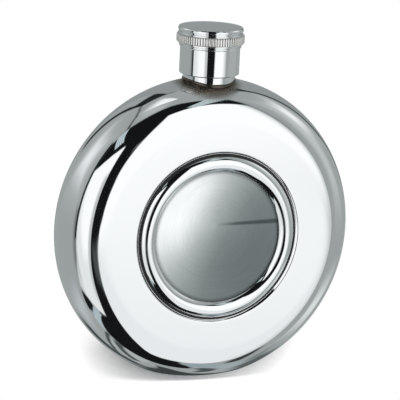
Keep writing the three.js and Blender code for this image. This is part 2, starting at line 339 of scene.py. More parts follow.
def painted_sheen_fan(tree, pointing, reach):
    """Painted sheen in the colour of the brushing, brightest to one side of the middle of the circles."""
    lean = math.radians(PAINTED_SHEEN_LEAN)
    facing = add(tree, "ShaderNodeVectorMath", {
        0: pointing, 1: (math.cos(lean), 0.0, math.sin(lean)),
    }, operation="DOT_PRODUCT")
    spread = add(tree, "ShaderNodeMapRange", {
        "Value": reach, "From Min": 0.0, "From Max": PAINTED_SHEEN_CORE, "To Min": 0.05, "To Max": 1.0,
    })
    sheen = add(tree, "ShaderNodeMath", {
        0: facing.outputs["Value"], 1: spread.outputs["Result"],
    }, operation="MULTIPLY")
    share = add(tree, "ShaderNodeMapRange", {"Value": sheen.outputs[0], "From Min": -1.0, "From Max": 1.0})
    fan = add(tree, "ShaderNodeValToRGB", {"Fac": share.outputs["Result"]})
    stops = fan.color_ramp.elements
    stops[0].color = linear("#6F7677")
    stops[1].color = linear("#FAFBFB")
    for spot, code in ((0.18, "#787F80"), (0.33, "#838A8A"), (0.5, "#9EA4A4"), (0.63, "#B4B9B9"),
                       (0.75, "#D0D4D4"), (0.85, "#EAEDED"), (0.95, "#FAFBFB")):
        stops.new(spot).color = linear(code)
    return fan.outputs["Color"]


def brushed_arcs(tree, pointing, reach):
    """Fine light and dark arcs round the middle of the circles, drawn coarse enough to show."""
    axes = add(tree, "ShaderNodeSeparateXYZ", {"Vector": pointing})
    turned = add(tree, "ShaderNodeMath", {0: axes.outputs["Z"], 1: axes.outputs["X"]}, operation="ARCTAN2")
    rings = add(tree, "ShaderNodeCombineXYZ", {"X": reach, "Y": turned.outputs[0]})
    stretch = add(tree, "ShaderNodeVectorMath", {
        0: rings.outputs["Vector"], 1: (per_mm(0.45), 1.6, 0.0),
    }, operation="MULTIPLY")
    grooves = add(tree, "ShaderNodeTexNoise", {
        "Vector": stretch.outputs["Vector"], "Scale": 1.0, "Detail": 3.0,
    })
    return add(tree, "ShaderNodeMapRange", {
        "Value": grooves.outputs["Fac"], "From Min": 0.3, "From Max": 0.7, "To Min": 0.95, "To Max": 1.04,
    }).outputs["Result"]


def painted_reflection_ray(tree, arm):
    """Depth of one thin dark ray of painted reflection that widens away from the middle of the circles."""
    across = add(tree, "ShaderNodeSeparateXYZ", {"Vector": arm}).outputs["X"]
    rising = add(tree, "ShaderNodeVectorMath", {0: arm, 1: (-RAY_RISE, 0.0, 1.0)}, operation="DOT_PRODUCT")
    off = add(tree, "ShaderNodeMath", {0: rising.outputs["Value"], 1: RAY_LIFT}, operation="SUBTRACT")
    aside = add(tree, "ShaderNodeMath", {0: off.outputs[0]}, operation="ABSOLUTE")
    width = add(tree, "ShaderNodeMath", {
        0: across, 1: RAY_WIDENING, 2: RAY_HALF_WIDTH,
    }, operation="MULTIPLY_ADD")
    inside = add(tree, "ShaderNodeMath", {0: width.outputs[0], 1: aside.outputs[0]}, operation="SUBTRACT")
    ray = add(tree, "ShaderNodeMapRange", {
        "Value": inside.outputs[0], "From Min": -RAY_SOFTNESS, "From Max": RAY_SOFTNESS,
    }, interpolation_type="SMOOTHSTEP")
    fade = add(tree, "ShaderNodeMapRange", {
        "Value": across, "From Min": RAY_START, "From Max": RAY_FULL, "To Min": 0.0, "To Max": 0.65,
    })
    return add(tree, "ShaderNodeMath", {
        0: ray.outputs["Result"], 1: fade.outputs["Result"],
    }, operation="MULTIPLY").outputs[0]


def painted_lip_shade(tree, arm):
    """Depth of the painted shade in the corner where the plate runs under the bezel's lip."""
    middle = add(tree, "ShaderNodeVectorMath", {0: arm, 1: (0.0, 0.0, BRUSH_CENTRE_RISE)}, operation="ADD")
    away = add(tree, "ShaderNodeVectorMath", {0: middle.outputs["Vector"]}, operation="LENGTH")
    return add(tree, "ShaderNodeMapRange", {
        "Value": away.outputs["Value"], "From Min": BEZEL_LIP - PAINTED_LIP_SHADE, "From Max": BEZEL_LIP,
        "To Min": 0.0, "To Max": 0.5,
    }, interpolation_type="SMOOTHSTEP").outputs["Result"]


def spun_stainless_steel():
    """Sheet brushed in circles: fine arcs round one centre, a painted sheen that fans out to one side of
    it, and one thin dark ray of painted reflection."""
    material, tree, place = new_material("spun_stainless_steel")
    centre = (-MIDDLE.x, -PLATE_FRONT, -(MIDDLE.z + BRUSH_CENTRE_RISE))
    arm = add(tree, "ShaderNodeVectorMath", {0: place, 1: centre}, operation="ADD").outputs["Vector"]
    along = add(tree, "ShaderNodeVectorMath", {0: AXES["Y"], 1: arm}, operation="CROSS_PRODUCT")
    reach = add(tree, "ShaderNodeVectorMath", {0: arm}, operation="LENGTH").outputs["Value"]
    pointing = add(tree, "ShaderNodeVectorMath", {0: arm}, operation="NORMALIZE").outputs["Vector"]
    # painted sheen, times the fine brushed arcs
    brushed = add(tree, "ShaderNodeMix", {
        "Factor": 1.0, "A": painted_sheen_fan(tree, pointing, reach), "B": brushed_arcs(tree, pointing, reach),
    }, data_type="RGBA", blend_type="MULTIPLY")
    # painted dark reflection ray over the brushing
    rayed = add(tree, "ShaderNodeMix", {
        "Factor": painted_reflection_ray(tree, arm), "A": brushed.outputs["Result"], "B": linear("#26292A"),
    }, data_type="RGBA")
    # painted shade in the corner under the bezel's lip
    colour = add(tree, "ShaderNodeMix", {
        "Factor": painted_lip_shade(tree, arm), "A": rayed.outputs["Result"], "B": linear("#3A3C3C"),
    }, data_type="RGBA")
    shader = add(tree, "ShaderNodeBsdfPrincipled", {
        "Base Color": colour.outputs["Result"],
        "Metallic": 1.0,
        "Roughness": 0.34,
        "Anisotropic": 0.5,
        "Tangent": along.outputs["Vector"],
    })
    add(tree, "ShaderNodeOutputMaterial", {"Surface": shader.outputs["BSDF"]})
    return material


def turned_stainless_steel():
    """Lathe turned tube: fine rings and a duller shine than the buffed sheet."""
    material, tree, place = new_material("turned_stainless_steel")
    rings = add(tree, "ShaderNodeTexWave", {"Vector": place, "Scale": per_mm(0.8), "Distortion": 0.6},
                wave_type="BANDS", bands_direction="Z")
    relief = add(tree, "ShaderNodeBump", {
        "Height": rings.outputs["Fac"], "Strength": 0.15, "Distance": 0.02 * MM,
    })
    shader = add(tree, "ShaderNodeBsdfPrincipled", {
        "Base Color": linear("#DADCDD"),
        "Metallic": 1.0,
        "Roughness": 0.17,
        "Normal": relief.outputs["Normal"],
    })
    add(tree, "ShaderNodeOutputMaterial", {"Surface": shader.outputs["BSDF"]})
    return material


def moulded_polypropylene():
    """Moulded black polypropylene: a soft satin skin with the grain of the mould."""
    material, tree, place = new_material("moulded_polypropylene")
    grain = add(tree, "ShaderNodeTexNoise", {"Vector": place, "Scale": per_mm(0.35), "Detail": 2.0})
    relief = add(tree, "ShaderNodeBump", {
        "Height": grain.outputs["Fac"], "Strength": 0.25, "Distance": 0.03 * MM,
    })
    shader = add(tree, "ShaderNodeBsdfPrincipled", {
        "Base Color": linear("#26282A"),
        "Roughness": 0.48,
        "IOR": 1.49,
        "Normal": relief.outputs["Normal"],
    })
    add(tree, "ShaderNodeOutputMaterial", {"Surface": shader.outputs["BSDF"]})
    return material


def silicone_rubber():
    """Cut silicone sheet: milky white, soft edges, a dull even skin."""
    material, tree, place = new_material("silicone_rubber")
    cloud = add(tree, "ShaderNodeTexNoise", {"Vector": place, "Scale": per_mm(3), "Detail": 2.0})
    tint = add(tree, "ShaderNodeMix", {
        "Factor": cloud.outputs["Fac"], "A": linear("#E2E1DB"), "B": linear("#EEEDE8"),
    }, data_type="RGBA")
    shader = add(tree, "ShaderNodeBsdfPrincipled", {
        "Base Color": tint.outputs["Result"],
        "Roughness": 0.55,
        "IOR": 1.41,
    })
    add(tree, "ShaderNodeOutputMaterial", {"Surface": shader.outputs["BSDF"]})
    return material


def cured_black_adhesive():
    """Cured black adhesive: dark, slightly glossy, with small uneven spots."""
    material, tree, place = new_material("cured_black_adhesive")
    uneven = add(tree, "ShaderNodeTexNoise", {"Vector": place, "Scale": per_mm(2), "Detail": 3.0})
    tint = add(tree, "ShaderNodeMix", {
        "Factor": uneven.outputs["Fac"], "A": linear("#0C0C0D"), "B": linear("#191A1B"),
    }, data_type="RGBA")
    shader = add(tree, "ShaderNodeBsdfPrincipled", {
        "Base Color": tint.outputs["Result"],
        "Roughness": 0.5,
        "IOR": 1.5,
    })
    add(tree, "ShaderNodeOutputMaterial", {"Surface": shader.outputs["BSDF"]})
    return material


# Mesh helpers
def arc(centre, radii, start, stop, steps):
    """Points on an arc of an ellipse, both ends included, with angles in degrees."""
    points = []
    for step in range(steps + 1):
        angle = math.radians(start + (stop - start) * step / steps)
        points.append((centre[0] + radii[0] * math.cos(angle), centre[1] + radii[1] * math.sin(angle)))
    return points


def turn(outline, axis, steps, closed=False):
    """New bmesh of an outline spun about the body's Y axis or the neck's Z axis.

    Each point is (radius, place along the axis) and may add the rounding of that corner.
    """
    bm = bmesh.new()
    wire = []
    for radius, along, *rounding in outline:
        spot = (radius, along, MIDDLE.z) if axis == "Y" else (radius, MIDDLE.y, along)
        wire.append((bm.verts.new(spot), rounding))
    corners = [vert for vert, rounding in wire]
    ends = corners[1:] + corners[:1] if closed else corners[1:]
    for pair in zip(corners, ends):
        bm.edges.new(pair)
    for vert, rounding in wire:
        if rounding:
            bmesh.ops.bevel(bm, geom=[vert], offset=rounding[0], offset_type="OFFSET", affect="VERTICES",
                            segments=ROUND_STEPS, profile=0.5, material=-1)
    bmesh.ops.spin(bm, geom=bm.verts[:] + bm.edges[:], cent=MIDDLE, axis=AXES[axis], angle=math.tau,
                   steps=steps, use_merge=True)
    bmesh.ops.remove_doubles(bm, verts=bm.verts[:], dist=WELD)
    bmesh.ops.recalc_face_normals(bm, faces=bm.faces[:])
    return bm


def finish_piece(bm, name, body, slot, material, *nodes):
    """Makes a piece of a bmesh: smooth faces, sharp turned corners, its body and the nodes that it hides.
    The slot argument is not used.
    """
    for face in bm.faces:
        face.smooth = True
    for edge in bm.edges:
        edge.smooth = edge.calc_face_angle(0.0) < SHARP_ANGLE
    mesh = bpy.data.meshes.new(name)
    bm.to_mesh(mesh)
    bm.free()
    mesh.materials.append(material)
    piece = bpy.data.objects.new(name, mesh)
    bpy.context.scene.collection.objects.link(piece)
    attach(piece, body)
    if nodes:
        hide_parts(*nodes)
    return piece


def even_normals(piece):
    """Lets the large flat faces set the shading beside their rounded edges."""
    weighted = piece.modifiers.new("even_normals", "WEIGHTED_NORMAL")
    weighted.weight = 50
    weighted.keep_sharp = True


def rim_height(x, y):
    """Height of the rim's top surface over a point beside the neck's axis."""
    share = max(1.0 - ((y - MIDDLE.y) / HALF_DEPTH) ** 2, 0.0)
    reach = FACE_RADIUS + RIM_REACH * share ** (1 / RIM_POWER)
    return MIDDLE.z + math.sqrt(reach ** 2 - x ** 2)


def in_neck_hole(spot):
    """True on top of the rim, inside the hole under the neck."""
    return spot.z > MIDDLE.z + FACE_RADIUS and math.hypot(spot.x, spot.y - MIDDLE.y) < NECK_HOLE


# Pieces
def polished_body(steel):
    """The two drawn halves, welded at mid depth and ground flush, with the recess for the plate,
    the pressed foot and the hole under the neck."""
    bow = arc((0, MIDDLE.y), (1, HALF_DEPTH), -90, 90, 2 * RIM_STEPS)
    rim = [(FACE_RADIUS + RIM_REACH * max(out, 0) ** (2 / RIM_POWER), along) for out, along in bow]
    outline = [
        (0, RECESS_FLOOR),
        (RECESS_RADIUS, RECESS_FLOOR, RECESS_ROUND),
        (RECESS_RADIUS, FACE_FRONT + SEAT_DEPTH, RECESS_ROUND),
        (SEAT_FLOOR, FACE_FRONT + SEAT_DEPTH, SEAT_CORNER),
        (SEAT_EDGE, FACE_FRONT, SEAT_ROUND),
        (SEAT_EDGE + SEAT_MARGIN, FACE_FRONT),
        *rim,
        (SEAT_EDGE, FACE_BACK),
        (0, FACE_BACK),
    ]
    bm = turn(outline, "Y", BODY_STEPS)
    level = FOOT_LEVEL - FOOT_SINK
    for vert in bm.verts:
        near = max(FOOT_BLEND - abs(vert.co.z - level), 0.0) / FOOT_BLEND
        vert.co.z = max(vert.co.z, level) + near ** 2 * FOOT_BLEND / 4
    neck = [face for face in bm.faces if in_neck_hole(face.calc_center_median())]
    bmesh.ops.delete(bm, geom=neck, context="FACES")
    for vert in bm.verts:
        if vert.is_boundary:
            out = Vector((vert.co.x, vert.co.y - MIDDLE.y)).normalized() * NECK_HOLE
            vert.co = (out.x, MIDDLE.y + out.y, rim_height(out.x, MIDDLE.y + out.y))
    piece = finish_piece(bm, "polished_body", "flask", "polished_steel", steel, "front_shell", "back_shell")
    wall = piece.modifiers.new("sheet_wall", "SOLIDIFY")
    wall.thickness = SHELL_WALL
    wall.offset = -1.0
    even_normals(piece)


def framed_plate(steel):
    """Round plate in the recess."""
    outline = [
        (0, PLATE_FRONT),
        (PLATE_RADIUS, PLATE_FRONT, PLATE_EDGE),
        (PLATE_RADIUS, PLATE_BACK, PLATE_EDGE),
        (0, PLATE_BACK),
    ]
    bm = turn(outline, "Y", BODY_STEPS)
    piece = finish_piece(bm, "brushed_plate", "flask", "spun_steel", steel, "centre_plate")
    even_normals(piece)


def bezel(steel):
    """Half round ring about the plate, set in the shallow seat pressed round the recess."""
    inner = math.degrees(math.asin((BEZEL_LINE - BEZEL_LIP) / BEZEL_ROUND))
    foot = FACE_FRONT + SEAT_DEPTH - SEAT_GAP
    bead = arc(BEZEL_CENTRE, (BEZEL_ROUND, BEZEL_ROUND), -90 - inner, -90 + BEZEL_SPREAD, BEZEL_STEPS)
    outline = [
        (PLATE_RADIUS, foot),
        (BEZEL_LIP, PLATE_FRONT - LIP_GAP),
        *bead,
        (bead[-1][0], foot),
    ]
    bm = turn(outline, "Y", BODY_STEPS, closed=True)
    piece = finish_piece(bm, "bezel_frame", "flask", "polished_steel", steel, "bezel_ring")
    even_normals(piece)


def bezel_joint(adhesive):
    """Line of adhesive in the joint between the half round ring and its seat."""
    skin = BEZEL_ROUND + JOINT_SKIN
    side = arc(BEZEL_CENTRE, (skin, skin), -90 + JOINT_START, -90 + BEZEL_SPREAD, JOINT_STEPS)
    bottom = FACE_FRONT + SEAT_DEPTH
    outline = [
        (side[0][0] - 2 * JOINT_SKIN, bottom),
        *side,
        (JOINT_OUTER, bottom - JOINT_SKIN / 2),
        (JOINT_OUTER, bottom),
    ]
    bm = turn(outline, "Y", BODY_STEPS, closed=True)
    finish_piece(bm, "ring_joint", "flask", "adhesive", adhesive)


def collar(steel):
    """Plain band round the spout, with a groove under it."""
    top = collar_high.z
    band_edge = top - COLLAR_BAND
    outline = [
        (NECK_HOLE, band_edge - COLLAR_GROOVE),
        (COLLAR_RADIUS - COLLAR_GROOVE_DEPTH, band_edge - COLLAR_GROOVE),
        (COLLAR_RADIUS - COLLAR_GROOVE_DEPTH, band_edge),
        (COLLAR_RADIUS, band_edge, FINE_EDGE),
        (COLLAR_RADIUS, top, COLLAR_TOP_ROUND),
        (NECK_HOLE, top, FINE_EDGE),
    ]
    bm = turn(outline, "Z", NECK_STEPS, closed=True)
    piece = finish_piece(bm, "neck_ring", "flask", "polished_steel", steel, "neck_collar")
    even_normals(piece)


def collar_foot(steel):
    """Bead under the band, and a foot that follows the curve of the rim that it is soldered to."""
    top = collar_high.z - COLLAR_BAND - COLLAR_GROOVE
    bead_edge = top - COLLAR_BEAD
    bead_size = (FLANGE_RADIUS - COLLAR_RADIUS, COLLAR_BEAD / 2)
    bead = arc((COLLAR_RADIUS, top - COLLAR_BEAD / 2), bead_size, -90, 90, BEAD_STEPS)
    outline = [
        (NECK_HOLE, MIDDLE.z),
        (FLANGE_RADIUS, MIDDLE.z),
        (FLANGE_RADIUS, bead_edge - COLLAR_GROOVE, FLANGE_ROUND),
        (COLLAR_RADIUS - COLLAR_GROOVE_DEPTH, bead_edge - COLLAR_GROOVE),
        *bead,
        (NECK_HOLE, top),
    ]
    bm = turn(outline, "Z", NECK_STEPS, closed=True)
    for vert in bm.verts:
        share = min(max((vert.co.z - bead_edge) / COLLAR_BEAD, 0.0), 1.0)
        vert.co.z = max(vert.co.z, rim_height(vert.co.x, vert.co.y) + COLLAR_SEAT + share * COLLAR_SADDLE)
    finish_piece(bm, "neck_foot", "flask", "polished_steel", steel)


def thread(bm, radius, height, start, turns):
    """Helical ridge on a cylinder about the neck's axis. A negative height points inwards."""
    foot = radius - THREAD_SINK * math.copysign(1, height)
    section = [
        (foot, -THREAD_ROOT / 2),
        (radius, -THREAD_ROOT / 2),
        (radius + height, -THREAD_CREST / 2),
        (radius + height, THREAD_CREST / 2),
        (radius, THREAD_ROOT / 2),
        (foot, THREAD_ROOT / 2),
    ]
    old = set(bm.verts)
    corners = [bm.verts.new((r, MIDDLE.y, start + rise)) for r, rise in section]
    face = bm.faces.new(corners)
    steps = round(turns * THREAD_STEPS)
    bmesh.ops.spin(bm, geom=[face], cent=MIDDLE, axis=AXES["Z"], dvec=(0, 0, THREAD_PITCH / THREAD_STEPS),
                   angle=turns * math.tau, steps=steps, use_merge=False)
    ridge = [vert for vert in bm.verts if vert not in old]
    low = min(vert.co.z for vert in ridge)
    high = max(vert.co.z for vert in ridge)
    for vert in ridge:
        out = Vector((vert.co.x, vert.co.y - MIDDLE.y, 0.0))
        excess = out.length - foot
        fade = min((vert.co.z - low) / THREAD_RUNOUT, (high - vert.co.z) / THREAD_RUNOUT, 1.0)
        vert.co -= out.normalized() * excess * (1.0 - fade)
    bmesh.ops.recalc_face_normals(bm, faces=bm.faces[:])


def spout(steel):
    """Tube through the top of the body, with a rounded lip and a coarse thread for the cap."""
    bore = SPOUT_RADIUS - SPOUT_WALL
    outline = [
        (bore, spout_low.z),
        (SPOUT_RADIUS, spout_low.z),
        (SPOUT_RADIUS, spout_high.z, SPOUT_LIP_ROUND),
        (bore, spout_high.z, SPOUT_LIP_ROUND),
    ]
    bm = turn(outline, "Z", NECK_STEPS, closed=True)
    thread(bm, SPOUT_RADIUS, THREAD_HEIGHT, collar_high.z + SPOUT_THREAD_START, SPOUT_THREAD_TURNS)
    finish_piece(bm, "threaded_spout", "flask", "spout_steel", steel, "neck_spout")


def grip_band(steel):
    """Ring of flat topped ribs with narrow valleys, chamfered at both ends."""
    root = CAP_RADIUS - CAP_WALL / 2
    # Each row has a plain radius, or else the inset from the ribs' tops, and its level
    rows = [
        (root, None, GRIP_BOTTOM),
        (None, GRIP_CHAMFER, GRIP_BOTTOM),
        (None, 0.0, GRIP_BOTTOM + GRIP_CHAMFER),
        (None, 0.0, GRIP_TOP - GRIP_CHAMFER),
        (None, GRIP_CHAMFER, GRIP_TOP),
        (root, None, GRIP_TOP),
        (root, None, GRIP_BOTTOM),
    ]
    bm = bmesh.new()
    spacing = math.tau / FLUTES
    line = [bm.verts.new() for step in range(FLUTE_STEPS + 1)]
    strands = [bm.edges.new(pair) for pair in zip(line, line[1:])]
    for index, (fixed, inset, level) in enumerate(rows):
        if index:
            grown = bmesh.ops.extrude_edge_only(bm, edges=strands)["geom"]
            strands = [item for item in grown if isinstance(item, bmesh.types.BMEdge)
                       and all(vert in grown for vert in item.verts)]
            line = [item for item in grown if isinstance(item, bmesh.types.BMVert)]
        for step, vert in enumerate(line):
            share = step / FLUTE_STEPS
            sunk = FLUTE_DEPTH * abs(2 * share - 1) ** FLUTE_POWER
            radius = fixed if fixed else GRIP_RADIUS - sunk - inset
            angle = spacing * (share - 0.5)
            vert.co = (radius * math.cos(angle), MIDDLE.y + radius * math.sin(angle), level)
    bmesh.ops.spin(bm, geom=bm.verts[:] + bm.edges[:] + bm.faces[:], cent=MIDDLE, axis=AXES["Z"],
                   angle=math.tau - spacing, steps=FLUTES - 1, use_duplicate=True)
    bmesh.ops.remove_doubles(bm, verts=bm.verts[:], dist=WELD)
    bmesh.ops.recalc_face_normals(bm, faces=bm.faces[:])
    finish_piece(bm, "fluted_grip", "cap", "polished_steel", steel)


def cap_cup(steel):
    """Turned cap: crowned lid with a steep bevel, groove, shoulder, wall behind the grip, two beads
    with a groove between them, and plain skirt."""
    bore = CAP_RADIUS - CAP_WALL
    lid = CAP_RADIUS + LID_PROUD
    lid_flat = lid - LID_BEVEL.x
    lid_groove = lid - LID_GROOVE_DEPTH
    shoulder = CAP_RADIUS + SHOULDER_PROUD
    bead = CAP_RADIUS + BEAD_PROUD
    low_bead = CAP_RADIUS + BEAD_STEP
    bead_bottom = GRIP_BOTTOM - BEAD_HEIGHT
    low_bead_top = bead_bottom + LOW_BEAD_HEIGHT
    inwards = [1 - step / CROWN_STEPS for step in range(1, CROWN_STEPS + 1)]
    outline = [
        (0, LID_TOP - CAP_ROOF),
        (bore, LID_TOP - CAP_ROOF, ROOF_CORNER),
        (bore, cap_low.z, FINE_EDGE),
        (CAP_RADIUS, cap_low.z, SKIRT_ROUND),
        (CAP_RADIUS, bead_bottom, FINE_EDGE),
        (low_bead, bead_bottom + BEAD_STEP / 2, BEAD_ROUND),
        (low_bead, low_bead_top, FINE_EDGE),
        (CAP_RADIUS, low_bead_top),
        (CAP_RADIUS, low_bead_top + BEAD_GROOVE),
        (bead, low_bead_top + BEAD_GROOVE, BEAD_ROUND),
        (bead, GRIP_BOTTOM, FINE_EDGE),
        (CAP_RADIUS, GRIP_BOTTOM),
        (CAP_RADIUS, GRIP_TOP),
        (shoulder, GRIP_TOP, FINE_EDGE),
        (shoulder, SHOULDER_TOP, SHOULDER_ROUND),
        (lid_groove, SHOULDER_TOP),
        (lid_groove, LID_EDGE),
        (lid, LID_EDGE, LID_UNDER_ROUND),
        (lid, LID_TOP - LID_BEVEL.y, LID_SIDE_ROUND),
        (lid_flat, LID_TOP, LID_TOP_ROUND),
        *[(lid_flat * share, LID_TOP + LID_CROWN * (1 - share ** 2)) for share in inwards],
    ]
    bm = turn(outline, "Z", NECK_STEPS)
    piece = finish_piece(bm, "turned_cap", "cap", "polished_steel", steel, "cap_shell")
    even_normals(piece)


def liner(plastic):
    """Moulded cup in the cap, with the thread that runs on the spout's."""
    bore = LINER_RADIUS - LINER_WALL
    roof_top = liner_high.z - LINER_STANDOFF
    ceiling = roof_top - LINER_ROOF
    inner = LINER_RADIUS - LINER_RIM_WIDTH
    outline = [
        (0, ceiling),
        (bore, ceiling, LINER_EDGE),
        (bore, liner_low.z, LINER_EDGE),
        (LINER_RADIUS, liner_low.z, LINER_EDGE),
        (LINER_RADIUS, liner_high.z, LINER_EDGE),
        (inner, liner_high.z, LINER_EDGE),
        (inner, roof_top, LINER_CORNER),
        (0, roof_top),
    ]
    bm = turn(outline, "Z", NECK_STEPS)
    start = collar_high.z + SPOUT_THREAD_START - THREAD_PITCH / 2
    thread(bm, bore, -THREAD_HEIGHT, start, SPOUT_THREAD_TURNS)
    finish_piece(bm, "moulded_liner", "cap", "liner_plastic", plastic, "cap_liner")


def gasket(rubber):
    """Soft disc with rounded edges, which the spout's lip seats on."""
    outline = [
        (0, gasket_low.z),
        (GASKET_RADIUS, gasket_low.z, WASHER_EDGE),
        (GASKET_RADIUS, gasket_high.z, WASHER_EDGE),
        (0, gasket_high.z),
    ]
    bm = turn(outline, "Z", NECK_STEPS)
    finish_piece(bm, "silicone_washer", "washer", "gasket_silicone", rubber, "cap_gasket")


# Stage
PHOTO_SIDE = 400           # pixels of the square picture
CAMERA_AZIMUTH = math.radians(-23.32)
CAMERA_ELEVATION = math.radians(13.16)
CAMERA_ROLL = math.radians(2.72)
CAMERA_DISTANCE = 935 * MM
CAMERA_FOCAL_PIXELS = 2863
SENSOR_MM = 36
BODY_PIXEL = Vector((201.6, 227.5))   # where the body's middle lies in the picture
FLOOR_RADIUS = 4000 * MM
FLOOR_STEPS = 64
SHADOW_MIDDLE = Vector((-6.5 * MM, 50 * MM))   # across the picture and away from the camera
SHADOW_REACH = Vector((36 * MM, 85 * MM))
SHADOW_TURN = 0.075        # radians that the shadow swings away to the right
SHADOW_FULL = 0.64         # share of its reach out to where the shadow keeps its depth
SHADOW_GONE = 1.02


def photo_camera():
    """Camera at the photograph's angle, aimed so that the body's middle keeps its place in the picture."""
    data = bpy.data.cameras.new("photo_camera")
    data.sensor_width = SENSOR_MM
    data.lens = CAMERA_FOCAL_PIXELS / PHOTO_SIDE * SENSOR_MM
    turned = (Matrix.Rotation(CAMERA_AZIMUTH, 4, "Z")
              @ Matrix.Rotation(math.pi / 2 - CAMERA_ELEVATION, 4, "X")
              @ Matrix.Rotation(CAMERA_ROLL, 4, "Z"))
    tilt = math.atan((BODY_PIXEL.y - PHOTO_SIDE / 2) / CAMERA_FOCAL_PIXELS)
    pan = math.atan((BODY_PIXEL.x - PHOTO_SIDE / 2) / CAMERA_FOCAL_PIXELS)
    aimed = turned @ Matrix.Rotation(tilt, 4, "X") @ Matrix.Rotation(pan, 4, "Y")
    back = turned.to_3x3() @ Vector((0.0, 0.0, CAMERA_DISTANCE))
    camera = bpy.data.objects.new("photo_camera", data)
    camera.matrix_world = Matrix.Translation(MIDDLE + back) @ aimed
    bpy.context.scene.collection.objects.link(camera)
    bpy.context.scene.camera = camera


def white_floor():
    """Pale floor that keeps the flask's shadow and runs out into even white round it.

    Reflections look past it into the light tent.
    """
    bm = bmesh.new()
    bmesh.ops.create_circle(bm, cap_ends=True, segments=FLOOR_STEPS, radius=FLOOR_RADIUS)
    mesh = bpy.data.meshes.new("floor")
    bm.to_mesh(mesh)
    bm.free()
    material, tree, place = new_material("white_paper")
    round_flask = add(tree, "ShaderNodeVectorRotate", {
        "Vector": place, "Center": MIDDLE, "Angle": SHADOW_TURN - CAMERA_AZIMUTH,
    }, rotation_type="Z_AXIS")
    off = (-SHADOW_MIDDLE.x, -SHADOW_MIDDLE.y - MIDDLE.y, 0.0)
    shifted = add(tree, "ShaderNodeVectorMath", {0: round_flask.outputs["Vector"], 1: off}, operation="ADD")
    scaled = add(tree, "ShaderNodeVectorMath", {
        0: shifted.outputs["Vector"], 1: (1 / SHADOW_REACH.x, 1 / SHADOW_REACH.y, 0.0),
    }, operation="MULTIPLY")
    away = add(tree, "ShaderNodeVectorMath", {0: scaled.outputs["Vector"]}, operation="LENGTH")
    bright = add(tree, "ShaderNodeMapRange", {
        "Value": away.outputs["Value"], "From Min": SHADOW_FULL, "From Max": SHADOW_GONE,
    })
    path = add(tree, "ShaderNodeLightPath")
    paper = add(tree, "ShaderNodeBsdfDiffuse", {"Color": linear("#FFFFFF")})
    glow = add(tree, "ShaderNodeEmission", {"Color": linear("#FFFFFF"), "Strength": 1.0})
    table = add(tree, "ShaderNodeMixShader", {
        0: bright.outputs["Result"], 1: paper.outputs["BSDF"], 2: glow.outputs["Emission"],
    })
    clear = add(tree, "ShaderNodeBsdfTransparent")
    shader = add(tree, "ShaderNodeMixShader", {
        0: path.outputs["Is Glossy Ray"], 1: table.outputs["Shader"], 2: clear.outputs["BSDF"],
    })
    add(tree, "ShaderNodeOutputMaterial", {"Surface": shader.outputs["Shader"]})
    mesh.materials.append(material)
    floor = bpy.data.objects.new("floor", mesh)
    bpy.context.scene.collection.objects.link(floor)


